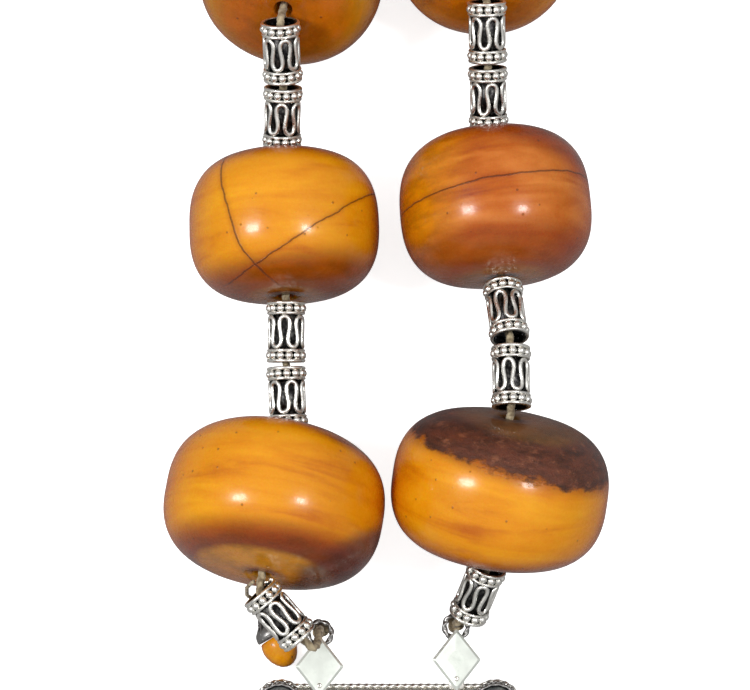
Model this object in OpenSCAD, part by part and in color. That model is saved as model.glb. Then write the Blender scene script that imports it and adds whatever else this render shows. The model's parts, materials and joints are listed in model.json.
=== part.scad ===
// Misbaha prayer beads: a closed strand of large amber beads with silver tube
// spacers, ending in a flat silver amulet. It lies on a table at z = 0.
// The amulet's flat back rests there, centred on the origin, and the strand
// runs away from it along +Y as two arms that meet in a top bead.

/* [Beads] */
// Diameter of the hole through each bead
bead_bore_d = 3.2; // [2.4:0.1:4]
// Fullness of a bead's profile, where 2 is an ellipse
bead_fullness = 2.6; // [2:0.1:3]

/* [Tube spacers] */
// Length of a silver tube from rim to rim
tube_l = 11; // [10:0.1:13]
// Diameter of a tube over its end rims
tube_rim_d = 7.5; // [7:0.1:8]
// Diameter of a tube between its rims
tube_body_d = 6.7; // [6.4:0.1:7]
// Diameter of the hole through a tube
tube_bore_d = 5.2; // [4.6:0.1:5.4]

/* [Cord] */
// Diameter of the cord that carries the strand
cord_d = 1.6; // [1.4:0.1:1.7]

/* [Amulet] */
// Width of the amulet case
case_w = 44; // [40:1:44]
// Height of the amulet case along the strand
case_h = 44; // [42:1:48]
// Thickness of the amulet case with its back plate
case_t = 9; // [8:0.5:10]
// Wall of the hollow case
case_wall = 0.8; // [0.6:0.1:1.2]
// Diameter of the amber stone at the centre
stone_d = 18; // [14:1:20]
// Width of a lozenge-shaped lug plate from corner to corner
lug_w = 8.8; // [8:0.1:10]
// Height of a lug plate from corner to corner
lug_h = 11.2; // [10:0.1:12]

/* [Hidden] */
$fn = 64;
LEFT = -1;
RIGHT = 1;
mouth_gap = 0.2;      // between a tube's rim and the bead's face
mouth_r = 3.65;       // radius at which a tube's rim rolls on the bead
face_r = 4.8;         // flat disc round the hole at each end of a bead
bead_steps = 14;      // points on a quarter of a bead's profile
back_t = 1.2;
border_w = 1;
lug_t = 1.2;
lug_lift = 0.3;       // between a lug and the tab under it
lug_drop = 2.2;       // from a lug's lower corner up to its pin
lug_x = 12.3;
lug_y = [22.6, 23.8]; // how far up the left and right lugs' pins stand
ring_r = 2.1;
ring_wire = 1.1;
post_d = 1;
tab_t = 0.8;          // thickness of the tab that carries a lug's pin
shoulder = [19.4, 18.9];
shoulder_d = 9.2;
ear_r = 3.9;          // the case's round ear under each shoulder stone
drop_pivot = [-24.2, 36.6, 3.7];
drop_turn = 212;

// One row for each bead of an arm, counted from the amulet:
// width, length, heading, tilt, heading of the tube before it, heading of the
// tube after it, height of the pivot after it, half the gap at that pivot.
// Headings are in plan, outward from +Y. A tilt is positive where the far end is up.
left_rows = [
    [39.6, 26, -9, -14, 42, 2, 17.2, 0.4],
    [34.9, 26.2, 2, -4, 0, -2, 21.5, 0.56],
    [34.6, 25.4, -8, -39, 2, 11, 8.5, 1],
    [30.5, 23, 23, 22, 21, 18, 17, 1],
    [29, 22, -13, -4, 6, -42, 13.2, 1.3],
];
right_rows = [
    [39, 26, 8, 18, 22, 0, 23, 0.8],
    [35.2, 26.8, -4, -5, -6, -2, 21, 0.46],
    [33.8, 25.4, 0, -32, -2, 12, 9, 1.1],
    [30.5, 23, 24, 22, 22, 18, 17, 1],
    [29, 22, -12, -4, 6, -50, 13.2, 1.2],
];
// The top bead: width, length, heading, heading of the tube before it
top_row = [27.5, 21, -88, -62];
// Where the first tube of each arm begins, and the cord's way to it from the lug ring
left_start = [-15.3, 30.8, 22.2];
right_start = [14.3, 35, 9.6];
left_lead = [
    [-12.3, 32.5, 6.4], [-12.3, 32.6, 9.2], [-12.3, 32.6, 11.4], [-12.4, 31.4, 14.2], [-12.5, 29.8, 17.4],
    [-13.3, 29.1, 20]
];
right_lead = [[12.3, 33.6, 6.4], [12.4, 33.8, 9.2], [12.8, 34.1, 10.9], [14.3, 35.6, 10.7]];
// The thread that ties the drop to the cord beside the lowest left bead
thread_route = [
    [-25.2, 36, 3.6], [-23.7, 36.9, 3.7], [-22.7, 37.6, 5], [-24, 37.8, 9], [-25.2, 38.6, 14],
    [-24.9, 39.8, 20], [-23.6, 40.7, 23]
];
thread_d = 0.8;

BEADS = 5;
arm_names = ["left", "right"];
function each_of(stem) = [for (a = arm_names) for (i = [1:BEADS]) str(stem, "_", a, "_", i)];
NODES = concat(
    each_of("bead"), ["bead_top"],
    each_of("tube_lower"), each_of("tube_upper"), ["tube_top_a", "tube_top_b"],
    each_of("cord"), ["cord_top"],
    ["amulet_back", "amulet_case", "amulet_border", "centre_bezel", "centre_stone"],
    ["shoulder_bezels", "shoulder_stones", "lug_posts"],
    ["lug_left", "lug_right", "lug_ring_left", "lug_ring_right"],
    ["drop_thread", "drop_ring", "drop_cap", "drop_stone"]
);
node = "all";

// Vectors and directions
function heading(h, s, side) = [side * sin(h) * cos(s), cos(h) * cos(s), sin(s)];
function unit(v) = v / norm(v);
function kink_sin(a, b) = norm(cross(a, b));
function standoff(a, b) = mouth_r * kink_sin(a, b) + mouth_gap;
// A bead's profile at the angle a from its equator: [radius, distance along the hole]
function bead_point(w, l, a) = [
    face_r + (w / 2 - face_r) * pow(cos(a), 2 / bead_fullness),
    l / 2 * pow(sin(a), 2 / bead_fullness)
];
// Height of the centre of a bead that rests on the table, tilted by t
function rest_z(w, l, t) =
    max([for (i = [0:bead_steps]) bead_point(w, l, i * 90 / bead_steps) * [cos(t), abs(sin(t))]]);
// Slope of a tube that climbs by dz over its length and half its gap
function climb(dz, half_gap) = asin(dz / (tube_l + half_gap));

// A link of the strand: lower tube, bead and upper tube in line from the point p.
// It returns [p, tube start, tube end, bead start, bead end, tube start, tube end, next p].
function link(row, p, side, half_gap) =
    let (
        axis = heading(row[2], row[3], side),
        in_z = rest_z(row[0], row[1], row[3]) - row[1] / 2 * sin(row[3]),
        out_z = in_z + row[1] * sin(row[3]),
        in_dir = settle(row[4], axis, in_z - p[2], half_gap, side),
        in_off = standoff(in_dir, axis),
        out_dir = settle(row[5], axis, row[6] - out_z, row[7], side),
        out_off = standoff(out_dir, axis),
        a = p + in_dir * half_gap,
        b = a + in_dir * tube_l,
        c = b + axis * in_off,
        d = c + axis * row[1],
        e = d + axis * out_off,
        f = e + out_dir * tube_l
    )
    [p, a, b, c, d, e, f, f + out_dir * row[7]];

// Direction of a tube that climbs by dz less the rise of its standoff, which
// depends on that direction, so it is found in a few rounds
function settle(h, axis, dz, half_gap, side, off = 0, rounds = 5) =
    let (dir = heading(h, climb(dz - off * axis[2], half_gap), side))
    rounds == 0 ? dir : settle(h, axis, dz, half_gap, side, standoff(dir, axis), rounds - 1);

// All the links of an arm, each starting where the last one ends
function arm(rows, p, side, half_gap, i = 0) =
    i == len(rows) ? [] :
    let (this = link(rows[i], p, side, half_gap))
    concat([this], arm(rows, this[7], side, rows[i][7], i + 1));

left_links = arm(left_rows, left_start, LEFT, 0);
right_links = arm(right_rows, right_start, RIGHT, 0);
left_end = left_links[BEADS - 1][7];
right_end = right_links[BEADS - 1][7];

// The top link starts on the left arm, and its last tube points at the right arm's end
function top_link(row, p, half_gap, goal) =
    let (
        axis = heading(row[2], 0, LEFT),
        z = row[0] / 2,
        in_try = heading(row[3], climb(z - p[2], half_gap), LEFT),
        a = p + in_try * half_gap,
        b = a + in_try * tube_l,
        c = b + axis * standoff(in_try, axis),
        d = c + axis * row[1],
        out_off = standoff(unit(goal - d), axis),
        e = d + axis * out_off,
        out_dir = unit(goal - e),
        f = e + out_dir * tube_l
    )
    [p, a, b, c, d, e, f, goal];

top = top_link(top_row, left_end, left_rows[BEADS - 1][7], right_end);

// Stands a shape drawn along +Z on the point p, pointing at the point q
module along(p, q) {
    v = unit(q - p);
    translate(p) rotate([0, acos(v[2]), atan2(v[1], v[0])]) children();
}

// Beads: a full oblate profile, flat round the hole, with the hole through it
module bead(w, l) {
    bore_r = bead_bore_d / 2;
    half = [for (i = [bead_steps:-1:0]) bead_point(w, l, i * 90 / bead_steps)];
    other = [for (i = [1:bead_steps]) let (p = half[bead_steps - i]) [p[0], -p[1]]];
    color("darkgoldenrod")
    rotate_extrude($fn = 96)
    polygon(concat([[bore_r, l / 2]], half, other, [[bore_r, -l / 2]]));
}

module bead_on(l, row) {
    along(l[3], l[4]) translate([0, 0, row[1] / 2]) bead(row[0], row[1]);
}

// Tubes: a thin sleeve with a bead-rolled rim at each end
module tube() {
    rim_l = 2.4;
    chamfer = 0.3;
    rim_r = tube_rim_d / 2;
    body_r = tube_body_d / 2;
    bore_r = tube_bore_d / 2;
    color("silver")
    rotate_extrude()
    polygon([
        [bore_r, 0], [rim_r - chamfer, 0], [rim_r, chamfer], [rim_r, rim_l - chamfer],
        [body_r, rim_l], [body_r, tube_l - rim_l], [rim_r, tube_l - rim_l + chamfer],
        [rim_r, tube_l - chamfer], [rim_r - chamfer, tube_l], [bore_r, tube_l]
    ]);
}

// Cord: a tube swept along a link's own points
module cord(route, d = cord_d, side_ref = [1, 0, 0]) {
    sides = 8;
    n = len(route);
    tangent = [for (i = [0:n - 1])
        unit(route[min(i + 1, n - 1)] - route[max(i - 1, 0)])];
    across = [for (t = tangent) unit(cross(t, side_ref))];
    points = [for (i = [0:n - 1]) for (k = [0:sides - 1])
        route[i] + d / 2 * (cos(k * 360 / sides) * across[i]
            + sin(k * 360 / sides) * cross(tangent[i], across[i]))];
    walls = [for (i = [0:n - 2]) for (k = [0:sides - 1])
        let (m = (k + 1) % sides, here = i * sides, next = here + sides)
        each [[here + k, here + m, next + m], [here + k, next + m, next + k]]];
    start = [for (k = [sides - 1:-1:0]) k];
    end = [for (k = [0:sides - 1]) (n - 1) * sides + k];
    color("wheat") polyhedron(points, concat([start], walls, [end]));
}

// A link's cord stops a little short of each pivot
cord_stop = 0.35;
function link_route(l) = [
    l[0] + unit(l[1] - l[0]) * cord_stop,
    (l[1] + l[2]) / 2, l[2], l[3], (l[3] + l[4]) / 2, l[4], l[5], (l[5] + l[6]) / 2,
    l[7] - unit(l[7] - l[6]) * cord_stop
];
function first_route(lead, l) = concat(lead, [
    (l[1] + l[2]) / 2, l[2], l[3], (l[3] + l[4]) / 2, l[4], l[5],
    l[7] - unit(l[7] - l[6]) * cord_stop
]);

// Amulet: a flat back, a hollow case with a rounded lower edge, and its trim
module amulet_outline(grow) {
    corner = 5 + grow;
    w = case_w / 2 + grow;
    h = case_h / 2 + grow;
    belly = w;
    difference() {
        translate([0, h - belly]) circle(belly, $fn = 128);
        translate([-2 * w, h - belly]) square([4 * w, 3 * w]);
    }
    translate([-w, h - belly]) square([2 * w, belly - corner]);
    translate([corner - w, h - corner - 1]) square([2 * (w - corner), corner + 1]);
    for (s = [-1, 1]) {
        translate([s * (w - corner), h - corner]) circle(corner);
        translate([s * shoulder[0], shoulder[1]]) circle(ear_r + grow);
    }
}

module amulet_back() {
    color("silver") linear_extrude(back_t) amulet_outline(0);
}

module amulet_case() {
    color("silver")
    translate([0, 0, back_t])
    difference() {
        linear_extrude(case_t - back_t) amulet_outline(0);
        translate([0, 0, -1]) linear_extrude(case_t - back_t - case_wall + 1) amulet_outline(-case_wall);
    }
}

module amulet_border() {
    color("gray")
    translate([0, 0, case_t - tab_t - border_w - 0.05])
    linear_extrude(border_w) difference() {
        amulet_outline(border_w);
        amulet_outline(0);
    }
}

module bezel(d, wall, h) {
    color("silver") translate([0, 0, case_t]) difference() {
        cylinder(d = d + 2 * wall, h = h);
        translate([0, 0, -1]) cylinder(d = d, h = h + 2);
    }
}

module dome(d, base_h, rise, tint) {
    r = d / 2;
    steps = 10;
    arc = [for (i = [0:steps]) [r * cos(i * 90 / steps), base_h + rise * sin(i * 90 / steps)]];
    color(tint) translate([0, 0, case_t]) rotate_extrude($fn = 96) polygon(concat([[0, 0], [r, 0]], arc));
}

module centre_bezel() { bezel(stone_d, 1.2, 2.4); }
module centre_stone() { dome(stone_d, 1.4, 3.6, "darkgoldenrod"); }
module at_shoulders() {
    for (side = [LEFT, RIGHT]) translate([side * shoulder[0], shoulder[1]]) children();
}
module shoulder_bezels() {
    at_shoulders() bezel(shoulder_d - 2, 1, 1.8);
}
module shoulder_stones() {
    at_shoulders() dome(shoulder_d - 2, 0.8, 1.4, "dimgray");
}

// Lugs: a flat plate set cornerwise, with a pin hole near its lower corner
module at_lug(side) {
    translate([side * lug_x, side == LEFT ? lug_y[0] : lug_y[1], case_t + lug_lift]) children();
}

module lug(side) {
    h = lug_h / 2;
    w = lug_w / 2;
    color("silver") at_lug(side) difference() {
        linear_extrude(lug_t) translate([0, h - lug_drop]) polygon([[0, -h], [w, 0], [0, h], [-w, 0]]);
        translate([0, 0, -1]) cylinder(d = post_d + 0.2, h = lug_t + 2);
    }
}

module ring(r, wire) {
    rotate_extrude() translate([r, 0]) circle(d = wire, $fn = 24);
}

module lug_ring(side) {
    far = lug_h - lug_drop + 0.3;
    color("gray") at_lug(side) translate([0, far, -ring_wire / 2 - 0.02]) ring(ring_r, ring_wire);
}

// Posts: a tab on the case under each lug, with the pin that the lug turns on
module lug_posts() {
    tab_r = 1.4;
    for (side = [LEFT, RIGHT]) color("silver") at_lug(side) {
        reach = (side == LEFT ? lug_y[0] : lug_y[1]) - case_h / 2;
        translate([0, 0, -lug_lift - tab_t]) linear_extrude(tab_t) {
            translate([-tab_r, -reach]) square([2 * tab_r, reach]);
            intersection() {
                circle(tab_r);
                translate([-tab_r, -reach]) square([2 * tab_r, reach + tab_r]);
            }
        }
        translate([0, 0, -lug_lift - tab_t / 2]) cylinder(d = post_d, h = lug_t + tab_t);
    }
}

// Drop: a small capped amber drop, tied to the strand by a thread
module drop_place() {
    translate(drop_pivot) rotate([0, 0, drop_turn]) children();
}
module drop_thread() { cord(thread_route, thread_d); }
module drop_ring() {
    color("gray") drop_place() rotate([0, 90, 0]) ring(1.5, 0.7);
}
module drop_cap() {
    color("gray") drop_place() translate([0, 2, 0]) rotate([-90, 0, 0])
    rotate_extrude() polygon([[0, 0], [1.2, 0], [3.1, 3], [3.1, 4.2], [0, 4.2]]);
}
module drop_stone() {
    color("darkgoldenrod") drop_place() translate([0, 6.3, 0]) rotate([-90, 0, 0])
    rotate_extrude() polygon([[0, 0], [2.8, 0], [3.2, 2], [2.8, 4], [1.6, 5.6], [0, 6]]);
}

function wanted(name) = node == "all" || node == name;

module arm_nodes(name, links, rows, lead) {
    for (i = [0:BEADS - 1]) {
        l = links[i];
        tag = str("_", name, "_", i + 1);
        if (wanted(str("bead", tag))) bead_on(l, rows[i]);
        if (wanted(str("tube_lower", tag))) along(l[1], l[2]) tube();
        if (wanted(str("tube_upper", tag))) along(l[5], l[6]) tube();
        if (wanted(str("cord", tag))) cord(i == 0 ? first_route(lead, l) : link_route(l));
    }
}

arm_nodes("left", left_links, left_rows, left_lead);
arm_nodes("right", right_links, right_rows, right_lead);
if (wanted("bead_top")) bead_on(top, top_row);
if (wanted("tube_top_a")) along(top[1], top[2]) tube();
if (wanted("tube_top_b")) along(top[5], top[6]) tube();
if (wanted("cord_top")) cord(link_route(top), side_ref = [0, 0, 1]);
if (wanted("amulet_back")) amulet_back();
if (wanted("amulet_case")) amulet_case();
if (wanted("amulet_border")) amulet_border();
if (wanted("centre_bezel")) centre_bezel();
if (wanted("centre_stone")) centre_stone();
if (wanted("shoulder_bezels")) shoulder_bezels();
if (wanted("shoulder_stones")) shoulder_stones();
if (wanted("lug_posts")) lug_posts();
if (wanted("lug_left")) lug(LEFT);
if (wanted("lug_right")) lug(RIGHT);
if (wanted("lug_ring_left")) lug_ring(LEFT);
if (wanted("lug_ring_right")) lug_ring(RIGHT);
if (wanted("drop_thread")) drop_thread();
if (wanted("drop_ring")) drop_ring();
if (wanted("drop_cap")) drop_cap();
if (wanted("drop_stone")) drop_stone();
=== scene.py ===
"""Misbaha prayer beads: the visible pieces, their materials, the light and the camera."""
import json
import math
import random

import bpy
from mathutils import Matrix, Vector, noise


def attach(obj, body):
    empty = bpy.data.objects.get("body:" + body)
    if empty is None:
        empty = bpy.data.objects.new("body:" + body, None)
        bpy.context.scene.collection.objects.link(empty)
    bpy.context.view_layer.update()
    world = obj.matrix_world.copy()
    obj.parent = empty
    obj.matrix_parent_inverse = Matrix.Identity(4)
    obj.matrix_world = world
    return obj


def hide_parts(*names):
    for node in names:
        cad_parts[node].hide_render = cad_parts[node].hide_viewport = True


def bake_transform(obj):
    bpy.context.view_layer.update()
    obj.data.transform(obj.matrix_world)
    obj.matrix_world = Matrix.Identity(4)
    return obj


MM = 0.001
SIDES = ("left", "right")
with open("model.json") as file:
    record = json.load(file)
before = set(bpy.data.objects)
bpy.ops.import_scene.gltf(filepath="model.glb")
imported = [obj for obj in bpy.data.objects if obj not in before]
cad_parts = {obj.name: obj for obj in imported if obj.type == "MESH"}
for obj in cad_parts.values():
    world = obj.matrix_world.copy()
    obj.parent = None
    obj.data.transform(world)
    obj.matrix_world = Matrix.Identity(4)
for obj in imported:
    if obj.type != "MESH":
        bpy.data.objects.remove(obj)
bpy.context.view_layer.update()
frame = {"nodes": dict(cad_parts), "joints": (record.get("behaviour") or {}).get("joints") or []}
joints = {j["name"]: j for j in frame["joints"]}


# ---------------------------------------------------------------- mesh building

def turns(count, ahead=0.0):
    """Angles in even steps round a full turn."""
    return [2 * math.pi * (k + ahead) / count for k in range(count)]


class Build:
    """Collects vertices and faces, in millimetres, for one piece."""

    def __init__(self):
        self.verts = []
        self.faces = []

    def add(self, verts, faces):
        base = len(self.verts)
        self.verts.extend([tuple(v) for v in verts])
        self.faces.extend([tuple(base + i for i in f) for f in faces])

    def lathe(self, profile, segments, closed=True):
        """Turns a profile of (radius, z) points round the Z axis."""
        count = len(profile)
        verts = [(r * math.cos(t), r * math.sin(t), z) for t in turns(segments) for r, z in profile]
        last = count if closed else count - 1
        faces = []
        for k in range(segments):
            here, there = k * count, (k + 1) % segments * count
            for i in range(last):
                j = (i + 1) % count
                faces.append((here + i, there + i, there + j, here + j))
        self.add(verts, faces)

    def sweep(self, route, radius, sides=8, closed=False, lobes=0, twist=0.0, depth=0.0):
        """Sweeps a round or lobed section along a route, turning it by twist a millimetre."""
        points = [Vector(p) for p in route]
        n = len(points)
        verts, normal, run = [], None, 0.0
        for i, p in enumerate(points):
            a = points[(i - 1) % n] if closed or i else p
            b = points[(i + 1) % n] if closed or i < n - 1 else p
            tangent = (b - a).normalized()
            if normal is None:
                normal = tangent.orthogonal().normalized()
            normal = (normal - tangent * normal.dot(tangent)).normalized()
            across = tangent.cross(normal)
            if i:
                run += (p - points[i - 1]).length
            for k in range(sides):
                t = 2 * math.pi * k / sides
                r = radius * (1 - depth * (0.5 - 0.5 * math.cos(lobes * t)))
                spun = t + twist * run
                verts.append(p + (normal * math.cos(spun) + across * math.sin(spun)) * r)
        faces = []
        for i in range(n if closed else n - 1):
            here, there = i * sides, (i + 1) % n * sides
            for k in range(sides):
                m = (k + 1) % sides
                faces.append((here + k, here + m, there + m, there + k))
        if not closed:
            faces.append(tuple(reversed(range(sides))))
            faces.append(tuple((n - 1) * sides + k for k in range(sides)))
        self.add(verts, faces)

    def ball(self, centre, radius, segments=12, rings=8):
        """A sphere with its poles above and below its centre."""
        c = Vector(centre)
        verts = [c + Vector((0, 0, radius))]
        for i in range(1, rings):
            a = math.pi * i / rings
            level, out = radius * math.cos(a), radius * math.sin(a)
            verts += [c + Vector((out * math.cos(t), out * math.sin(t), level)) for t in turns(segments)]
        verts.append(c - Vector((0, 0, radius)))
        last = len(verts) - 1
        faces = [(0, 1 + k, 1 + (k + 1) % segments) for k in range(segments)]
        for i in range(rings - 2):
            here, there = 1 + i * segments, 1 + (i + 1) * segments
            for k in range(segments):
                m = (k + 1) % segments
                faces.append((here + k, there + k, there + m, here + m))
        tail = 1 + (rings - 2) * segments
        faces += [(last, tail + (k + 1) % segments, tail + k) for k in range(segments)]
        self.add(verts, faces)

    def shift(self, start, x, y):
        """Moves the vertices from the one numbered start onwards sideways."""
        self.verts[start:] = [(v[0] + x, v[1] + y, v[2]) for v in self.verts[start:]]

    def mesh(self, name, materials, smooth=True):
        data = bpy.data.meshes.new(name)
        data.from_pydata([[x * MM for x in v] for v in self.verts], [], self.faces)
        for m in materials:
            data.materials.append(m)
        data.polygons.foreach_set("use_smooth", [smooth] * len(self.faces))
        data.validate()
        data.update()
        return data


def piece(name, data, body, stands_for=(), matrix=None):
    """An object in the scene that rides on a body and stands for CAD nodes."""
    obj = bpy.data.objects.new(name, data)
    bpy.context.scene.collection.objects.link(obj)
    if matrix is not None:
        obj.matrix_world = matrix
    if body:
        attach(obj, body)
    if stands_for:
        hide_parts(*stands_for)
    return obj


def torus_route(radius, z, count=48, centre=(0, 0)):
    """A circle as the route of a wire."""
    return [(centre[0] + radius * math.cos(t), centre[1] + radius * math.sin(t), z) for t in turns(count)]


def axis_frame(centre, axis):
    """Local Z along the axis and local -Y towards the top, with the origin at centre."""
    ez = Vector(axis).normalized()
    aside = Vector((1, 0, 0)) if abs(ez.x) < 0.9 else Vector((0, -1, 0))
    ex = (aside - ez * aside.dot(ez)).normalized()
    ey = ez.cross(ex)
    m = Matrix((ex, ey, ez)).transposed().to_4x4()
    m.translation = Vector(centre)
    return m


def node_size(name, centre, axis):
    """Length along an axis and radius about it of a CAD node, in millimetres."""
    co = [v.co - Vector(centre) for v in frame["nodes"][name].data.vertices]
    a = Vector(axis).normalized()
    along = [c.dot(a) for c in co]
    radius = max((c - a * c.dot(a)).length for c in co)
    return (max(along) - min(along)) / MM, radius / MM


# ---------------------------------------------------------------- material building

def srgb(r, g, b):
    """Linear colour from 0 to 255 values."""
    def one(v):
        v /= 255
        return v / 12.92 if v <= 0.04045 else ((v + 0.055) / 1.055) ** 2.4
    return (one(r), one(g), one(b), 1.0)


class Nodes:
    """Short ways to add and link shader nodes."""

    def __init__(self, name):
        self.material = bpy.data.materials.new(name)
        self.material.use_nodes = True
        self.tree = self.material.node_tree
        self.tree.nodes.clear()
        out = self.tree.nodes.new("ShaderNodeOutputMaterial")
        self.shader = self.tree.nodes.new("ShaderNodeBsdfPrincipled")
        self.tree.links.new(self.shader.outputs[0], out.inputs[0])

    def put(self, socket, value):
        if isinstance(value, bpy.types.NodeSocket):
            self.tree.links.new(value, socket)
        elif value is not None:
            socket.default_value = value

    def node(self, kind, **settings):
        n = self.tree.nodes.new("ShaderNode" + kind)
        for key, value in settings.items():
            setattr(n, key, value)
        return n

    def math(self, op, a, b=None, c=None, clamp=False):
        n = self.node("Math", operation=op, use_clamp=clamp)
        for socket, value in zip(n.inputs, (a, b, c)):
            self.put(socket, value)
        return n.outputs[0]

    def vmath(self, op, a, b=None, c=None):
        n = self.node("VectorMath", operation=op)
        for socket, value in zip(n.inputs, (a, b, c)):
            self.put(socket, value)
        return n.outputs[1] if op in ("DOT_PRODUCT", "LENGTH") else n.outputs[0]

    def object_mm(self):
        co = self.node("TexCoord").outputs["Object"]
        return self.vmath("MULTIPLY", co, (1000, 1000, 1000))

    def own_mm(self):
        """A bead's own coordinates, kept on its mesh before it was put in its place."""
        return self.node("Attribute", attribute_name="own_mm").outputs["Vector"]

    def noise(self, vector, scale, detail=3.0, rough=0.5, distortion=0.0):
        n = self.node("TexNoise")
        self.put(n.inputs["Vector"], vector)
        self.put(n.inputs["Scale"], scale)
        self.put(n.inputs["Detail"], detail)
        self.put(n.inputs["Roughness"], rough)
        self.put(n.inputs["Distortion"], distortion)
        return n.outputs[0]

    def step(self, value, low, high, to_low=0.0, to_high=1.0, smooth=True):
        n = self.node("MapRange", interpolation_type="SMOOTHSTEP" if smooth else "LINEAR")
        for socket, v in zip(n.inputs, (value, low, high, to_low, to_high)):
            self.put(socket, v)
        return n.outputs[0]

    def mix(self, factor, a, b, mode="MIX"):
        n = self.node("Mix", data_type="RGBA", blend_type=mode)
        self.put(n.inputs[0], factor)
        self.put(n.inputs[6], a)
        self.put(n.inputs[7], b)
        return n.outputs[2]

    def ramp(self, value, stops):
        n = self.node("ValToRGB")
        cr = n.color_ramp
        while len(cr.elements) < len(stops):
            cr.elements.new(0.5)
        for e, (at, colour) in zip(cr.elements, stops):
            e.position = at
            e.color = colour
        self.put(n.inputs[0], value)
        return n.outputs[0]

    def bump(self, height, distance, strength=1.0, normal=None):
        n = self.node("Bump")
        n.inputs["Strength"].default_value = strength
        n.inputs["Distance"].default_value = distance
        self.put(n.inputs["Height"], height)
        if normal is not None:
            self.put(n.inputs["Normal"], normal)
        return n.outputs[0]

    def set(self, **values):
        for key, value in values.items():
            self.put(self.shader.inputs[key.replace("_", " ")], value)


# ---------------------------------------------------------------- amber

HONEY = srgb(212, 132, 2)
GOLD = srgb(226, 154, 14)
TAWNY = srgb(176, 86, 2)
RUSSET = srgb(140, 52, 6)
MAROON = srgb(98, 32, 14)
UMBER = srgb(98, 50, 32)
OCHRE = srgb(176, 114, 14)
OLIVE = srgb(134, 92, 34)
PEACH = srgb(210, 126, 50)

# What each bead looks like. A patch is (direction, where it starts, how soft, how ragged,
# colour, how strong) and a crack is (direction, offset, how far round it runs, half width).
# Directions are in the bead's own frame: x across, -y up from the table, z along the strand.
LOOKS = {
    "bead_left_1": dict(
        base=(TAWNY, HONEY, GOLD), seed=1.3,
        patches=[
            ((0.08, 0, -1), 0.66, 0.12, 0.08, RUSSET, 0.85),
            ((0.10, 0, -1), 0.79, 0.06, 0.06, MAROON, 0.5),
            ((0, 0, -1), 0.915, 0.03, 0.03, GOLD, 0.85),
            ((0.95, 0.2, -0.75), 1.02, 0.10, 0.08, MAROON, 0.85),
            ((0.30, -0.1, 0.9), 0.84, 0.10, 0.20, RUSSET, 0.8),
            ((0.34, -0.1, 0.9), 0.93, 0.07, 0.22, MAROON, 0.8)],
        cracks=[]),
    "bead_left_2": dict(
        base=(TAWNY, HONEY, GOLD), seed=4.1,
        patches=[
            ((0.1, 0, -1), 0.68, 0.16, 0.09, RUSSET, 0.85),
            ((0, 0, 1), 0.78, 0.16, 0.10, RUSSET, 0.7),
            ((1, 0.3, 0), 0.84, 0.18, 0.08, RUSSET, 0.7),
            ((0, 0, -1), 0.985, 0.01, 0.01, OCHRE, 0.8)],
        cracks=[((0.84, -0.54, 0.22), 0.0, (-1, -0.2, 0), 0.009),
                ((0.63, 0.21, -0.78), 0.27, (0.2, -1, 0), 0.007)]),
    "bead_left_3": dict(
        base=(TAWNY, OCHRE, HONEY), seed=7.7,
        patches=[
            ((0, 0, -1), 0.88, 0.10, 0.06, TAWNY, 0.8),
            ((0.9, -0.3, 0.2), 0.80, 0.2, 0.1, RUSSET, 0.8)],
        cracks=[]),
    "bead_right_1": dict(
        base=(TAWNY, HONEY, GOLD), seed=2.9,
        patches=[
            ((0.2, 0, 1), 0.44, 0.10, 0.08, RUSSET, 0.7),
            ((0.2, 0, 1), 0.52, 0.04, 0.11, UMBER, 0.97),
            ((0.1, 0, 1), 0.93, 0.04, 0.06, OLIVE, 0.7),
            ((0.1, 0, -1), 0.76, 0.16, 0.06, RUSSET, 0.75),
            ((1, 0.1, -0.3), 0.95, 0.15, 0.06, TAWNY, 0.8)],
        cracks=[]),
    "bead_right_2": dict(
        base=(RUSSET, TAWNY, PEACH), seed=5.6,
        patches=[
            ((-1, -0.15, 0.1), 0.62, 0.28, 0.10, HONEY, 0.8),
            ((0, 0, -1), 0.56, 0.16, 0.10, RUSSET, 0.6),
            ((0.45, 0.0, 1), 0.66, 0.16, 0.10, RUSSET, 0.8),
            ((0, 0, -1), 0.975, 0.02, 0.02, OCHRE, 0.8)],
        cracks=[((-0.15, 0, 1), 0.06, (0, -1, 0), 0.009)]),
    "bead_right_3": dict(
        base=(TAWNY, HONEY, OCHRE), seed=9.2,
        patches=[
            ((-0.7, -0.3, -0.8), 1.02, 0.10, 0.12, UMBER, 0.6),
            ((0, 0, -1), 0.88, 0.10, 0.08, TAWNY, 0.8)],
        cracks=[]),
}


def guessed_look(seed):
    """A look for a bead that varies with its seed, in the manner of the others."""
    rng = random.Random(seed)
    tones = rng.choice([(TAWNY, HONEY, GOLD), (RUSSET, TAWNY, HONEY), (TAWNY, OCHRE, GOLD)])
    end = rng.choice((-1, 1))
    patches = [((rng.uniform(-0.3, 0.3), 0, end), rng.uniform(0.6, 0.75), 0.1, 0.12, RUSSET, 0.8)]
    if rng.random() < 0.5:
        patches.append(((rng.uniform(-1, 1), rng.uniform(-0.6, 0.2), -end), 0.9, 0.08, 0.2, UMBER, 0.8))
    cracks = []
    if rng.random() < 0.6:
        across = (rng.uniform(-1, 1), rng.uniform(-0.3, 0.3), 0.8)
        cracks.append((across, rng.uniform(0, 0.3), (0, -1, 0), 0.009))
    return dict(base=tones, seed=seed, patches=patches, cracks=cracks)


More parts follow.
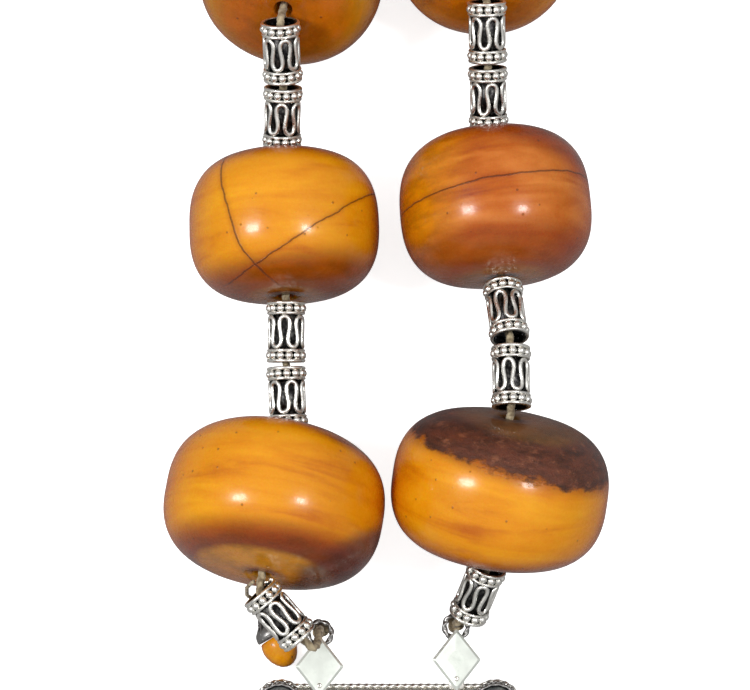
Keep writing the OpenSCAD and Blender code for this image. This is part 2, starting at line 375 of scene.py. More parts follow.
def amber(name, look, radius, half, own=True):
    """Polished old amber resin: clouded bands, burnt patches, fine cracks and pits, with painted shade
    darkening its rims.
    """
    m = Nodes(name)
    mm = m.own_mm() if own else m.object_mm()
    unit = m.vmath("MULTIPLY", mm, (1 / radius, 1 / radius, 1 / half))
    shifted = m.vmath("ADD", unit, (look["seed"], look["seed"] * 1.7, look["seed"] * 0.6))
    warp = m.noise(shifted, 1.6, 3, 0.55)
    bands = m.vmath("MULTIPLY", shifted, (0.5, 0.5, 2.2))
    swirl = m.noise(bands, 1.5, 5, 0.6, 0.8)
    cloud = m.math("ADD", m.math("MULTIPLY", swirl, 0.7), m.math("MULTIPLY", warp, 0.3))
    deep, mid, light = look["base"]
    colour = m.ramp(cloud, [(0.30, deep), (0.46, mid), (0.66, light)])
    ragged = m.noise(shifted, 3.2, 9, 0.68)
    streaky = m.noise(m.vmath("MULTIPLY", shifted, (3.5, 3.5, 9.0)), 1.0, 6, 0.7)
    rough_edge = m.math("SUBTRACT", m.math("ADD", ragged, m.math("MULTIPLY", streaky, 0.35)), 0.68)
    ripple = m.math("MULTIPLY", m.math("SUBTRACT", ragged, 0.5), 0.35)
    soft_edge = m.math("ADD", m.math("SUBTRACT", swirl, 0.5), ripple)
    rough_mask = 0.0
    for direction, start, soft, amount, tint, strength in look["patches"]:
        reach = m.vmath("DOT_PRODUCT", unit, direction)
        burnt = tint is UMBER
        edge = rough_edge if burnt else soft_edge
        reach = m.math("ADD", reach, m.math("MULTIPLY", edge, amount * (4 if burnt else 2.5)))
        mask = m.math("MULTIPLY", m.step(reach, start - soft, start + soft), strength)
        deeper = [c * (0.3 if burnt else 0.62) for c in tint[:3]] + [1]
        varied = m.mix(m.step(streaky, 0.35, 0.70), tint, deeper)
        colour = m.mix(mask, colour, varied)
        if burnt:
            pale = m.step(m.noise(m.vmath("MULTIPLY", shifted, (7, 7, 9)), 1.0, 5, 0.7), 0.52, 0.68, 0.0, 0.6)
            colour = m.mix(m.math("MULTIPLY", mask, pale), colour, srgb(150, 92, 62))
            rough_mask = m.math("MAXIMUM", rough_mask, mask)
    flecks = m.math("MULTIPLY", m.step(m.noise(shifted, 9.0, 4, 0.7), 0.68, 0.76), 0.55)
    colour = m.mix(flecks, colour, RUSSET)
    wobble = m.math("MULTIPLY", m.math("SUBTRACT", m.noise(shifted, 2.4, 6, 0.6), 0.5), 0.10)
    groove = 0.0
    for direction, offset, side, width in look["cracks"]:
        away = m.math("SUBTRACT", m.vmath("DOT_PRODUCT", unit, direction), offset)
        away = m.math("ABSOLUTE", m.math("ADD", away, wobble))
        line = m.step(away, width * 0.3, width * 1.8, 1.0, 0.0)
        facing = m.step(m.vmath("DOT_PRODUCT", unit, side), 0.0, 0.35)
        groove = m.math("MAXIMUM", groove, m.math("MULTIPLY", line, facing))
        stain = m.math("MULTIPLY", m.step(away, 0.0, width * 9, 0.30, 0.0), facing)
        colour = m.mix(stain, colour, RUSSET)
    colour = m.mix(m.math("MULTIPLY", groove, 0.7), colour, srgb(66, 30, 12))
    pit_cells = m.node("TexVoronoi")
    m.put(pit_cells.inputs["Vector"], mm)
    pit_cells.inputs["Scale"].default_value = 0.32
    pits = m.step(pit_cells.outputs[0], 0.03, 0.10, 1.0, 0.0)
    colour = m.mix(m.math("MULTIPLY", pits, 0.6), colour, srgb(70, 32, 14))
    scuffs = m.noise(mm, 0.9, 6, 0.75)
    height = m.math("MULTIPLY", m.noise(mm, 0.35, 4, 0.55), 0.5)
    height = m.math("SUBTRACT", height, m.math("MULTIPLY", groove, 0.9))
    height = m.math("SUBTRACT", height, m.math("MULTIPLY", pits, 0.6))
    rough_height = m.math("MULTIPLY", m.math("MULTIPLY", m.noise(mm, 1.3, 8, 0.7), rough_mask), 3.2)
    height = m.math("ADD", height, rough_height)
    # Painted shade: the colour darkens and turns redder towards the rims, where the surface turns away from
    # the camera.
    rim = m.node("LayerWeight")
    rim.inputs["Blend"].default_value = 0.32
    rim_painted_shade = m.step(rim.outputs["Facing"], 0.24, 0.92, 0.0, 0.85)
    colour = m.mix(rim_painted_shade, colour, m.mix(1.0, colour, srgb(196, 116, 60), "MULTIPLY"))
    m.set(Base_Color=colour, Normal=m.bump(height, 0.12 * MM))
    m.set(Roughness=m.math("ADD", m.step(scuffs, 0.3, 0.8, 0.24, 0.34), m.math("MULTIPLY", rough_mask, 0.2)))
    m.set(Subsurface_Weight=0.2, Subsurface_Scale=2.0 * MM, Subsurface_Radius=(1.0, 0.35, 0.08))
    m.set(Coat_Weight=0.22, Coat_Roughness=0.12, IOR=1.42, Specular_IOR_Level=0.4)
    return m.material


BORE_R = 1.6
FULLNESS = 2.6
FACE_R = 4.8


def bead_mesh(name, length, radius, material, seed, place):
    """An oblate bead with a rounded hole mouth and hand-ground unevenness."""
    half = length / 2
    steps = 40
    profile = []
    power = 2 / FULLNESS
    for i in range(2 * steps + 1):
        a = math.pi / 2 - math.pi * i / (2 * steps)
        r = FACE_R + (radius - FACE_R) * abs(math.cos(a)) ** power
        z = math.copysign(half * abs(math.sin(a)) ** power, math.sin(a))
        profile.append((r, z))
    mouth = [(BORE_R + 0.5 - 0.5 * math.sin(t), half - 0.5 + 0.5 * math.cos(t))
             for t in (0.5, 1.0, math.pi / 2)]
    profile += [(r, -z) for r, z in mouth]
    profile += [(BORE_R, z) for z in (-half * 0.5, 0, half * 0.5)]
    profile += [(r, z) for r, z in reversed(mouth)]
    b = Build()
    b.lathe(profile, 128)
    shift = Vector((seed * 3.1, seed * 1.9, seed * 2.3))
    for i, v in enumerate(b.verts):
        p = Vector(v)
        out = math.hypot(p.x, p.y)
        if out > FACE_R:
            low = noise.noise(p / 17 + shift) * 0.5 + 0.5
            fine = noise.noise(p / 4.5 + shift) * 0.5 + 0.5
            shrink = (0.06 + 0.40 * low + 0.05 * fine) * min(1.0, (out - FACE_R) / 4)
            n = Vector((p.x / radius ** 2, p.y / radius ** 2, p.z / half ** 2)).normalized()
            b.verts[i] = tuple(p - n * shrink)
    data = b.mesh(name, [material])
    own = data.attributes.new("own_mm", "FLOAT_VECTOR", "POINT")
    own.data.foreach_set("vector", [c for v in b.verts for c in v])
    data.transform(place)
    return data


def make_beads():
    for index, name in enumerate(sorted(n for n in frame["nodes"] if n.startswith("bead"))):
        spin = joints[name + "_spin"]
        length, radius = node_size(name, spin["pos_m"], spin["axis"])
        look = LOOKS.get(name) or guessed_look(11 + index * 7)
        material = amber("amber_" + name, look, radius, length / 2)
        place = axis_frame(spin["pos_m"], spin["axis"])
        data = bead_mesh(name + "_amber", length, radius, material, 2.0 + index, place)
        piece(name + "_polished", data, name, [name])


# ---------------------------------------------------------------- silver

def antique_silver(dark_below, bright_above):
    """Silver of the tubes: bright far from the axis and nearly black in the recesses."""
    m = Nodes("antique_silver")
    mm = m.object_mm()
    level = m.vmath("LENGTH", m.vmath("MULTIPLY", mm, (1, 1, 0)))
    tarnish = m.noise(mm, 1.4, 5, 0.65)
    level = m.math("ADD", level, m.math("MULTIPLY", m.math("SUBTRACT", tarnish, 0.5), 0.25))
    clean = m.step(level, dark_below, bright_above)
    spots = m.step(m.noise(mm, 3.1, 4, 0.6), 0.62, 0.78, 0.0, 0.35)
    worn = m.mix(spots, srgb(238, 236, 230), srgb(158, 154, 146))
    m.set(Base_Color=m.mix(clean, srgb(30, 29, 30), worn), Metallic=1.0)
    m.set(Roughness=m.step(tarnish, 0.3, 0.7, 0.22, 0.42))
    m.set(Normal=m.bump(m.noise(mm, 2.2, 5, 0.6), 0.05 * MM, 0.6))
    return m.material


TUBE_L = 11.0


def tube_mesh(material):
    """A tube spacer: wire rings, granule rows and a serpentine wire over a thin sleeve."""
    b = Build()
    half = TUBE_L / 2
    bore, wall = 2.62, 2.82
    ring_r, granule_ring, wire_ring = 3.2, 2.98, 2.95
    inner_ring = half - 2.15
    b.lathe([(bore, -half + 0.1), (wall, -half + 0.1), (wall, half - 0.1), (bore, half - 0.1)], 48)
    for s in (-1, 1):
        for z, r in ((half - 0.32, 0.34), (inner_ring, 0.27)):
            b.sweep(torus_route(ring_r, s * z, 48), r, 8, closed=True)
        for t in turns(12, 0.5):
            b.ball((granule_ring * math.cos(t), granule_ring * math.sin(t), s * (half - 1.27)), 0.74, 12, 8)
    loops, swing, lift = 6, 1.0, inner_ring - 0.62
    count = loops * 44
    route = []
    for k in range(count):
        t = 2 * math.pi * loops * k / count
        turn = (t + swing * math.sin(2 * t)) / loops
        route.append((wire_ring * math.cos(turn), wire_ring * math.sin(turn), lift * math.cos(t)))
    b.sweep(route, 0.40, 8, closed=True)
    return b.mesh("tube_spacer", [material])


def make_tubes(material):
    data = tube_mesh(material)
    rng = random.Random(5)
    for name in sorted(n for n in frame["nodes"] if n.startswith("tube")):
        spin = joints[name + "_spin"]
        place = axis_frame(spin["pos_m"], spin["axis"])
        place = place @ Matrix.Rotation(rng.uniform(0, 2 * math.pi), 4, "Z")
        piece(name + "_silver", data, name, [name], place)


# ---------------------------------------------------------------- light, floor and camera

def area_light(name, place, aim, size, size_y, power):
    data = bpy.data.lights.new(name, "AREA")
    data.energy = power
    data.shape = "RECTANGLE"
    data.size, data.size_y = size, size_y
    obj = bpy.data.objects.new(name, data)
    bpy.context.scene.collection.objects.link(obj)
    obj.location = place
    obj.rotation_euler = (Vector(aim) - Vector(place)).to_track_quat("-Z", "Y").to_euler()


def make_stage():
    """A white table that stays white in the picture and throws little light up at the strand."""
    floor_m = Nodes("white_table")
    seen = floor_m.node("LightPath").outputs["Is Camera Ray"]
    floor_m.set(Base_Color=floor_m.mix(seen, (0.30, 0.30, 0.30, 1), (0.95, 0.95, 0.95, 1)), Roughness=0.8)
    floor_m.set(Emission_Color=(1, 1, 1, 1), Emission_Strength=floor_m.math("MULTIPLY", seen, 0.72))
    data = bpy.data.meshes.new("floor")
    reach = 3.0
    corners = [(-reach, -reach, 0), (reach, -reach, 0), (reach, reach, 0), (-reach, reach, 0)]
    data.from_pydata(corners, [], [(0, 1, 2, 3)])
    data.materials.append(floor_m.material)
    floor = bpy.data.objects.new("floor", data)
    floor.location = (0, 0.1, -0.0002)
    bpy.context.scene.collection.objects.link(floor)
    world = bpy.data.worlds.new("studio")
    bpy.context.scene.world = world
    world.use_nodes = True
    tree = world.node_tree
    back = tree.nodes["Background"]
    way = tree.nodes.new("ShaderNodeSeparateXYZ")
    tree.links.new(tree.nodes.new("ShaderNodeTexCoord").outputs["Generated"], way.inputs[0])
    sky = tree.nodes.new("ShaderNodeMapRange")
    tree.links.new(way.outputs[2], sky.inputs[0])
    for socket, value in {"From Min": 0.0, "From Max": 0.9, "To Min": 0.28, "To Max": 0.74}.items():
        sky.inputs[socket].default_value = value
    tree.links.new(sky.outputs[0], back.inputs[1])
    back.inputs[0].default_value = (1, 1, 1, 1)
    aim = (0, 0.09, 0)
    area_light("key_left", (-0.42, 0.06, 0.60), aim, 0.13, 0.18, 2.6)
    area_light("fill_right", (0.34, 0.06, 0.66), aim, 0.10, 0.13, 1.8)


def make_camera():
    """Over the lower part of the strand, leaning a little towards its top."""
    lean, distance, view_w, sensor = math.radians(8), 0.4, 0.135, 36
    aim = Vector((-0.00234, 0.0833, 0.017))
    data = bpy.data.cameras.new("camera")
    data.sensor_width = sensor
    data.lens = sensor * distance / view_w
    obj = bpy.data.objects.new("camera", data)
    bpy.context.scene.collection.objects.link(obj)
    obj.location = aim + distance * Vector((0, -math.sin(lean), math.cos(lean)))
    obj.rotation_euler = (lean, 0, 0)
    bpy.context.scene.camera = obj
    bpy.context.scene.view_settings.view_transform = "Standard"


# ---------------------------------------------------------------- cords

CORD_R = 0.78
LEADS = {
    "left": [(-12.3, 32.5, 6.4), (-12.3, 32.6, 9.2), (-12.3, 32.6, 11.4), (-12.4, 31.4, 14.2),
             (-12.5, 29.8, 17.4), (-13.3, 29.1, 20)],
    "right": [(12.3, 33.6, 6.4), (12.4, 33.8, 9.2), (12.8, 34.1, 10.9), (14.3, 35.6, 10.7)],
}
THREAD = [(-25.2, 36, 3.6), (-23.7, 36.9, 3.7), (-22.7, 37.6, 5), (-24, 37.8, 9), (-25.2, 38.6, 14),
          (-24.9, 39.8, 20), (-23.6, 40.7, 23)]


def cord_material(name, light, dark):
    """Twisted waxed cotton with darker grooves and a little grime."""
    m = Nodes(name)
    mm = m.object_mm()
    grime = m.noise(mm, 0.7, 4, 0.6)
    fuzz = m.noise(mm, 6.0, 4, 0.7)
    m.set(Base_Color=m.mix(m.step(grime, 0.35, 0.65), dark, light), Roughness=0.82, Sheen_Weight=0.25)
    m.set(Normal=m.bump(fuzz, 0.06 * MM, 0.8))
    return m.material


def ends_of(name, length):
    """The two ends of a piece that is threaded on the cord, in the order of the strand."""
    spin = joints[name + "_spin"]
    centre, axis = Vector(spin["pos_m"]) / MM, Vector(spin["axis"]).normalized()
    return centre - axis * length / 2, centre + axis * length / 2


def smooth_route(points, step=0.5):
    """A route through the points with its corners rounded, in even steps."""
    pts = [Vector(p) for p in points]
    fine = [pts[0]]
    for a, b in zip(pts, pts[1:]):
        parts = max(1, round((b - a).length / step))
        fine += [a.lerp(b, k / parts) for k in range(1, parts + 1)]
    for _ in range(3):
        fine = [fine[0]] + [(a + 2 * b + c) / 4 for a, b, c in zip(fine, fine[1:], fine[2:])] + [fine[-1]]
    return fine


def twisted(name, route, radius, material, twist=1.1, lobes=3, sides=15):
    """A cord laid up from strands, as a mesh."""
    b = Build()
    b.sweep(route, radius, sides, lobes=lobes, twist=twist, depth=0.24)
    return b.mesh(name, [material])


def link_points(tag):
    """The ends of a link's lower tube, bead and upper tube, in the order of the strand."""
    low = ends_of("tube_lower_" + tag if tag != "top" else "tube_top_a", TUBE_L)
    spin = joints[f"bead_{tag}_spin"]
    bead_length, _ = node_size("bead_" + tag, spin["pos_m"], spin["axis"])
    bead = ends_of("bead_" + tag, bead_length)
    up = ends_of("tube_upper_" + tag if tag != "top" else "tube_top_b", TUBE_L)
    return [*low, *bead, *up]


def make_cords(material, metal):
    """One length of cord for each link, and a curved length across each pivot."""
    inside = 2.5
    for side in SIDES:
        for i in range(1, 6):
            tag = f"{side}_{i}"
            p = link_points(tag)
            start = p[0].lerp(p[1], inside / TUBE_L)
            stop = p[5].lerp(p[4], inside / TUBE_L)
            if i == 1:
                route = smooth_route([*LEADS[side], (p[0] + p[1]) / 2, *p[1:5], stop])
            else:
                route = smooth_route([start, *p[1:5], stop])
            data = twisted("cord_" + tag + "_twist", route, CORD_R, material)
            piece(f"cord_{tag}_strand", data, "link_" + tag, ["cord_" + tag])
            if i < 5 or side == "left":
                after = f"{side}_{i + 1}" if i < 5 else "top"
                nxt = ends_of("tube_lower_" + after if i < 5 else "tube_top_a", TUBE_L)
                pivot = Vector(joints["flex_" + after]["pos_m"]) / MM
                far = nxt[0].lerp(nxt[1], inside / TUBE_L)
                bend = smooth_route([stop, p[5], pivot, nxt[0], far], 0.35)
                data = twisted("cord_bend_" + tag, bend, CORD_R, material)
                obj = piece(f"cord_bend_{tag}", data, None, ())
                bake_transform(obj)
    p = link_points("top")
    last = ends_of("tube_upper_right_5", TUBE_L)
    route = smooth_route([p[0].lerp(p[1], inside / TUBE_L), *p[1:6], last[1], last[1].lerp(last[0], 0.2)])
    data = twisted("cord_top_twist", route, CORD_R, material)
    piece("cord_top_strand", data, "link_top", ["cord_top"])
    # The knots that hold the cord under the two lug rings
    for side in SIDES:
        x, y, z = LEADS[side][0]
        knot = []
        for t in turns(60):
            out = 0.75 + 0.42 * math.cos(3 * t)
            up = 0.3 + 0.5 * math.sin(3 * t)
            knot.append((x + out * math.cos(2 * t), y + out * math.sin(2 * t), z + up))
        b = Build()
        b.sweep(knot, 0.5, 8, closed=True)
        piece(f"cord_knot_{side}", b.mesh(f"knot_{side}", [material]), f"link_{side}_1", ())
    # Two tiny silver beads sit beside the cord where it enters the lowest left bead
    low = ends_of("tube_lower_left_1", TUBE_L)[1]
    b = Build()
    for dx, dy, dz in ((1.35, 1.7, 0.6), (2.2, 2.2, 0.5)):
        b.ball(low + Vector((dx, dy, dz)), 0.46, 14, 10)
    piece("mouth_beads_left", b.mesh("mouth_beads", [metal]), "link_left_1", ())
    route = smooth_route(THREAD, 0.4)
    data = twisted("drop_thread_twist", route, 0.38, material, 2.2, 2, 10)
    piece("drop_thread_twisted", data, "link_left_1", ["drop_thread"])


# ---------------------------------------------------------------- the amulet and its fittings

CASE_W, CASE_H, CASE_T, BACK_T = 44.0, 44.0, 9.0, 1.2
SHOULDER, EAR_R = (19.4, 18.9), 3.9
LUG = {"left": (-12.3, 22.6), "right": (12.3, 23.8)}
LUG_Z, LUG_T, LUG_W, LUG_H, LUG_DROP = 9.3, 1.2, 8.8, 11.2, 2.2
RING_R = 2.1
DROP_PLACE, DROP_TURN = (-24.2, 36.6, 3.7), 212


def in_outline(x, y, grow):
    """Whether a point lies within the amulet's outline moved out by grow."""
    half, corner = CASE_W / 2 + grow, 5 + grow
    if y < 0 and math.hypot(x, y) < half:
        return True
    if any(math.hypot(x - s * SHOULDER[0], y - SHOULDER[1]) < EAR_R + grow for s in (-1, 1)):
        return True
    if y < 0:
        return False
    dx, dy = abs(x) - (half - corner), y - (half - corner)
    if dx > 0 and dy > 0:
        return math.hypot(dx, dy) < corner
    return abs(x) < half and y < half


def by_direction(grow, count):
    """The outline at a fixed number of directions, so that loops match each other."""
    ring = []
    for t in turns(count):
        low, high = 5.0, 40.0
        for _ in range(24):
            r = (low + high) / 2
            low, high = (r, high) if in_outline(r * math.cos(t), r * math.sin(t), grow) else (low, r)
        ring.append((low * math.cos(t), low * math.sin(t)))
    return ring


def outline(grow, spacing):
    """The amulet's outline in even steps, anticlockwise."""
    ring = [Vector((x, y, 0)) for x, y in by_direction(grow, 720)]
    lengths = [(b - a).length for a, b in zip(ring, ring[1:] + ring[:1])]
    total = sum(lengths)
    count = round(total / spacing)
    out, i, run = [], 0, 0.0
    for k in range(count):
        want = total * k / count
        while run + lengths[i] < want:
            run += lengths[i]
            i += 1
        out.append(ring[i].lerp(ring[(i + 1) % len(ring)], (want - run) / lengths[i]))
    return out


def raise_to(points, z):
    """The points at the height z."""
    return [(p[0], p[1], z) for p in points]


def stack(b, loops):
    """Skins a stack of loops with the same number of points, bottom loop first."""
    n = len(loops[0])
    verts = [p for loop in loops for p in loop]
    faces = []
    for i in range(len(loops) - 1):
        for k in range(n):
            m = (k + 1) % n
            faces.append((i * n + k, i * n + m, (i + 1) * n + m, (i + 1) * n + k))
    faces.append(tuple(reversed(range(n))))
    faces.append(tuple((len(loops) - 1) * n + k for k in range(n)))
    b.add(verts, faces)


def skin_case(b, profile):
    """Skins the amulet's outline through a profile of (growth, z) points."""
    stack(b, [[(x, y, z) for x, y in by_direction(grow, 360)] for grow, z in profile])


def collar(b, centre, inner, outer, height, granule, rim):
    """A bezel on the case: a thin wall, a ring of granules and a twisted wire rim."""
    cx, cy = centre
    wall = [(inner, 0), (inner, height), (inner + 0.22, height), (inner + 0.34, height - 0.2),
            (inner + 0.42, 0)]
    start = len(b.verts)
    b.lathe([(r, CASE_T + z) for r, z in wall], 72)
    b.shift(start, cx, cy)
    ring_r = outer - granule
    for t in turns(int(2 * math.pi * ring_r / (2 * granule * 1.02))):
        b.ball((cx + ring_r * math.cos(t), cy + ring_r * math.sin(t), CASE_T + 0.28), granule, 10, 8)
    edge = [(x + cx, y + cy, z) for x, y, z in torus_route(inner + 0.3, CASE_T + height - 0.12, 96)]
    b.sweep(edge, rim, 8, closed=True, lobes=2, twist=2.2, depth=0.35)


def dome(b, centre, radius, base, rise):
    """A domed stone on the case."""
    steps = 16
    profile = [(0.01, base + rise)]
    for i in range(1, steps + 1):
        a = math.pi / 2 * (1 - i / steps)
        profile.append((radius * math.cos(a), base + rise * math.sin(a)))
    profile += [(radius, 0.02), (0.01, 0.02)]
    start = len(b.verts)
    b.lathe([(r, CASE_T + z) for r, z in reversed(profile)], 72)
    b.shift(start, centre[0], centre[1])


def make_amulet(metal, dark_metal, stone, dark_stone):
    b = Build()
    skin_case(b, [(-0.25, 0.0), (-0.02, 0.22), (-0.02, BACK_T - 0.02)])
    piece("amulet_back_plate", b.mesh("back_plate", [metal], False), "amulet", ["amulet_back"])

    b = Build()
    top = CASE_T
    skin_case(b, [(-0.02, BACK_T), (-0.02, top - 0.5), (-0.12, top - 0.2), (-0.4, top - 0.03),
                  (-2.9, top - 0.03), (-3.1, top - 0.25), (-3.5, top - 0.3)])
    for p in outline(-2.1, 0.98):
        b.ball((p.x, p.y, top - 0.02), 0.42, 8, 6)
    b.sweep(raise_to(outline(-1.05, 0.3), top - 0.08), 0.33, 10, closed=True, lobes=2, twist=1.6, depth=0.35)
    b.sweep(raise_to(outline(-3.15, 0.4), top - 0.12), 0.28, 8, closed=True)
    for r, wire in ((12.9, 0.32), (15.1, 0.26)):
        b.sweep(torus_route(r, top - 0.22, 200), wire, 8, closed=True, lobes=2, twist=1.8, depth=0.35)
    for t in turns(14):
        mid = Vector((14.0 * math.cos(t), 14.0 * math.sin(t), top - 0.2))
        out, side = Vector((math.cos(t), math.sin(t), 0)), Vector((-math.sin(t), math.cos(t), 0))
        loop = [mid + out * 0.78 * math.cos(a) + side * (2.2 * math.sin(a)) for a in turns(24)]
        b.sweep(loop, 0.22, 6, closed=True)
        b.ball(mid + Vector((0, 0, 0.1)), 0.36, 8, 6)
    piece("amulet_case_worked", b.mesh("case_worked", [metal]), "amulet", ["amulet_case"])

    b = Build()
    mid_z = CASE_T - 0.8 - 0.5 - 0.05
    b.sweep(raise_to(outline(0.48, 0.28), mid_z), 0.49, 12, closed=True, lobes=3, twist=1.5, depth=0.3)
    piece("amulet_border_wire", b.mesh("border_wire", [metal]), "amulet", ["amulet_border"])

    b = Build()
    collar(b, (0, 0), 9.0, 10.2, 2.3, 0.55, 0.3)
    piece("centre_bezel_worked", b.mesh("centre_collar", [metal]), "amulet", ["centre_bezel"])
    b = Build()
    for s in (-1, 1):
        collar(b, (s * SHOULDER[0], SHOULDER[1]), 3.6, 4.6, 1.7, 0.42, 0.3)
    data = b.mesh("shoulder_collars", [dark_metal])
    piece("shoulder_bezels_worked", data, "amulet", ["shoulder_bezels"])
    b = Build()
    dome(b, (0, 0), 8.95, 1.4, 3.5)
    piece("centre_stone_domed", b.mesh("centre_dome", [stone]), "amulet", ["centre_stone"])
    b = Build()
    for s in (-1, 1):
        dome(b, (s * SHOULDER[0], SHOULDER[1]), 3.55, 0.8, 1.3)
    data = b.mesh("shoulder_domes", [dark_stone])
    piece("shoulder_stones_domed", data, "amulet", ["shoulder_stones"])


def lug_loop(grow, z, centre):
    """A lozenge with slightly rounded corners, moved in or out by grow."""
    round_r, w, h = 0.35, LUG_W / 2, LUG_H / 2
    slant = math.atan2(w, h)
    pts = []
    for q, (cx, cy) in enumerate(((0, h), (-w, 0), (0, -h), (w, 0))):
        half_turn = math.pi / 2 - slant if q % 2 == 0 else slant
        pull = (round_r - grow) / math.cos(half_turn)
        out = Vector((cx, cy, 0)).normalized()
        corner = Vector((cx, cy, 0)) - out * pull
        facing = math.atan2(out.y, out.x)
        for j in range(7):
            t = facing - half_turn + 2 * half_turn * j / 6
            pts.append(corner + Vector((math.cos(t), math.sin(t), 0)) * round_r)
    return [(p.x + centre[0], p.y + centre[1], z) for p in pts]


def make_lugs(plate, dark_metal):
    """The lozenge plates, and the twisted rings behind them that the cord is tied to."""
    layers = ((-0.25, 0.0), (0.0, 0.25), (0.0, LUG_T - 0.3), (-0.42, LUG_T - 0.02),
              (-0.75, LUG_T - 0.05), (-2.2, LUG_T - 0.12))
    for side, (x, y) in LUG.items():
        body = f"lug_{side}"
        centre = (x, y + LUG_H / 2 - LUG_DROP)
        b = Build()
        stack(b, [lug_loop(g, LUG_Z + z, centre) for g, z in layers])
        piece(f"lug_{side}_plate", b.mesh(f"plate_{side}", [plate], False), body, [body])
        far = y + LUG_H - LUG_DROP + 0.3
        b = Build()
        ring = torus_route(RING_R, LUG_Z - 0.57, 90, (x, far))
        b.sweep(ring, 0.54, 12, closed=True, lobes=2, twist=1.9, depth=0.32)
        data = b.mesh(f"ring_{side}", [dark_metal])
        piece(f"lug_ring_{side}_wire", data, body, [f"lug_ring_{side}"])


def make_posts(metal):
    """A tab under each lug plate with the pin that the plate turns on."""
    b = Build()
    tab_r, pin_r = 1.38, 0.48
    for x, y in LUG.values():
        reach = y - CASE_H / 2
        tab = [(tab_r, -reach)]
        for j in range(13):
            t = math.pi * j / 12
            tab.append((tab_r * math.cos(t), tab_r * math.sin(t)))
        tab.append((-tab_r, -reach))
        loops = []
        for z, g in ((LUG_Z - 1.1, 0.92), (LUG_Z - 1.0, 1.0), (LUG_Z - 0.4, 1.0), (LUG_Z - 0.3, 0.92)):
            loops.append([(x + px * g, y + max(py * g, -reach), z) for px, py in tab])
        stack(b, loops)
        start = len(b.verts)
        top = LUG_Z + LUG_T
        b.lathe([(0.01, LUG_Z - 0.7), (pin_r, LUG_Z - 0.7), (pin_r, top - 0.1), (0.34, top + 0.06),
                 (0.01, top + 0.09)], 24)
        b.shift(start, x, y)
    piece("lug_posts_pinned", b.mesh("posts", [metal]), "amulet", ["lug_posts"])


def make_drop(dark_metal, stone):
    """The small amber drop with its worked silver cap and its ring."""
    place = Matrix.Translation(Vector(DROP_PLACE) * MM) @ Matrix.Rotation(math.radians(DROP_TURN), 4, "Z")
    turn = Matrix.Rotation(-math.pi / 2, 4, "X")
    b = Build()
    ring = [(0, 1.5 * math.cos(t), 1.5 * math.sin(t)) for t in turns(48)]
    b.sweep(ring, 0.34, 10, closed=True, lobes=2, twist=2.4, depth=0.3)
    piece("drop_ring_wire", b.mesh("drop_wire", [dark_metal]), "drop", ["drop_ring"], place)
    b = Build()
    cap = [(0.01, 0.0), (0.75, 0.05), (1.15, 0.6), (1.2, 1.2), (1.9, 1.9), (2.75, 2.7), (3.0, 3.3),
           (3.0, 4.1), (0.01, 4.1)]
    b.lathe(cap, 48, closed=False)
    for t in turns(14):
        b.ball((2.72 * math.cos(t), 2.72 * math.sin(t), 3.72), 0.36, 8, 6)
    rib_profile = ((1.12, 0.9), (1.3, 1.4), (1.85, 2.0), (2.5, 2.6), (2.75, 3.1))
    for t in turns(7):
        b.sweep([(r * math.cos(t), r * math.sin(t), z) for r, z in rib_profile], 0.22, 6)
    piece("drop_cap_worked", b.mesh("cap_worked", [dark_metal]), "drop", ["drop_cap"],
          place @ Matrix.Translation((0, 2 * MM, 0)) @ turn)
    b = Build()
    tip = [(0.01, 0.02), (2.4, 0.02), (2.75, 0.15), (3.02, 0.9), (3.15, 1.8), (3.05, 2.7), (2.75, 3.7),
           (2.2, 4.7), (1.5, 5.45), (0.7, 5.85), (0.01, 5.95)]
    b.lathe(tip, 48, closed=False)
    piece("drop_stone_polished", b.mesh("drop_amber", [stone]), "drop", ["drop_stone"],
          place @ Matrix.Translation((0, 6.3 * MM, 0)) @ turn)


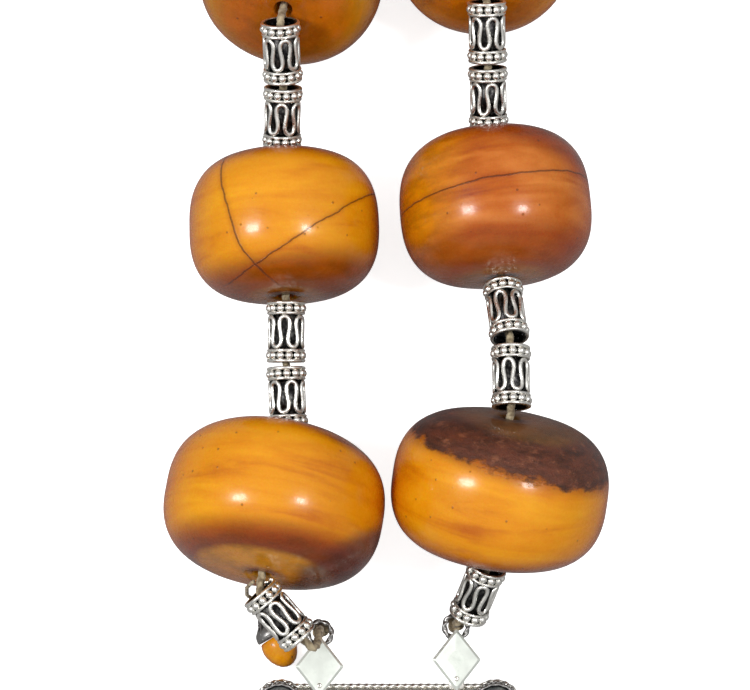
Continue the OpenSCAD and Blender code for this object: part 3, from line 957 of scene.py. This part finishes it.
def plain_silver(name, bright, dark, low, high, rough=(0.2, 0.4), scale=0.8, bump=0.05, metal=1.0):
    """Silver whose tarnish follows hollows and noise rather than height."""
    m = Nodes(name)
    mm = m.object_mm()
    tarnish = m.noise(mm, scale, 6, 0.62)
    geo = m.node("NewGeometry").outputs["Pointiness"]
    raised = m.step(geo, 0.47, 0.53)
    bare = m.math("ADD", m.math("MULTIPLY", tarnish, 0.6), m.math("MULTIPLY", raised, 0.4))
    clean = m.step(bare, low, high)
    m.set(Base_Color=m.mix(clean, dark, bright), Metallic=metal)
    m.set(Roughness=m.step(tarnish, 0.3, 0.7, rough[1], rough[0]))
    m.set(Normal=m.bump(m.noise(mm, scale * 2.5, 5, 0.6), bump * MM, 0.6))
    return m.material


def grey_stone():
    """Polished dark grey stone with soft veins."""
    m = Nodes("grey_stone")
    mm = m.object_mm()
    veins = m.noise(mm, 0.5, 7, 0.65, 0.6)
    colour = m.ramp(veins, [(0.3, srgb(58, 60, 62)), (0.5, srgb(104, 106, 104)), (0.7, srgb(138, 138, 130))])
    m.set(Base_Color=colour, Roughness=m.step(veins, 0.3, 0.7, 0.25, 0.4))
    m.set(Coat_Weight=0.3, Coat_Roughness=0.15)
    m.set(Normal=m.bump(m.noise(mm, 1.6, 4, 0.6), 0.05 * MM, 0.5))
    return m.material


# ---------------------------------------------------------------- the strand

make_camera()
make_stage()
antique = antique_silver(2.80, 3.08)
case_silver = plain_silver("case_silver", srgb(232, 229, 222), srgb(58, 55, 54), 0.30, 0.52)
dark_silver = plain_silver("oxidised_silver", srgb(150, 148, 146), srgb(30, 30, 33), 0.42, 0.66, (0.28, 0.5))
# Lozenge plates: silver with a painted reflection, a green-grey tint that stands for what the polished plates
# reflect, painted into their colour.
reflection_tinted_plate = plain_silver("reflection_tinted_plate", srgb(226, 231, 223), srgb(176, 184, 174), 0.20, 0.50,
                            (0.30, 0.40), 0.45, 0.03, 0.7)
tan_cord = cord_material("tan_cord", srgb(188, 172, 140), srgb(112, 94, 70))
clear_look = dict(base=(TAWNY, HONEY, GOLD), seed=3.3, patches=[], cracks=[])
small_amber = amber("amber_small", clear_look, 9, 9, False)
make_beads()
make_tubes(antique)
make_cords(tan_cord, case_silver)
make_amulet(case_silver, dark_silver, small_amber, grey_stone())
make_lugs(reflection_tinted_plate, dark_silver)
make_posts(case_silver)
make_drop(dark_silver, small_amber)
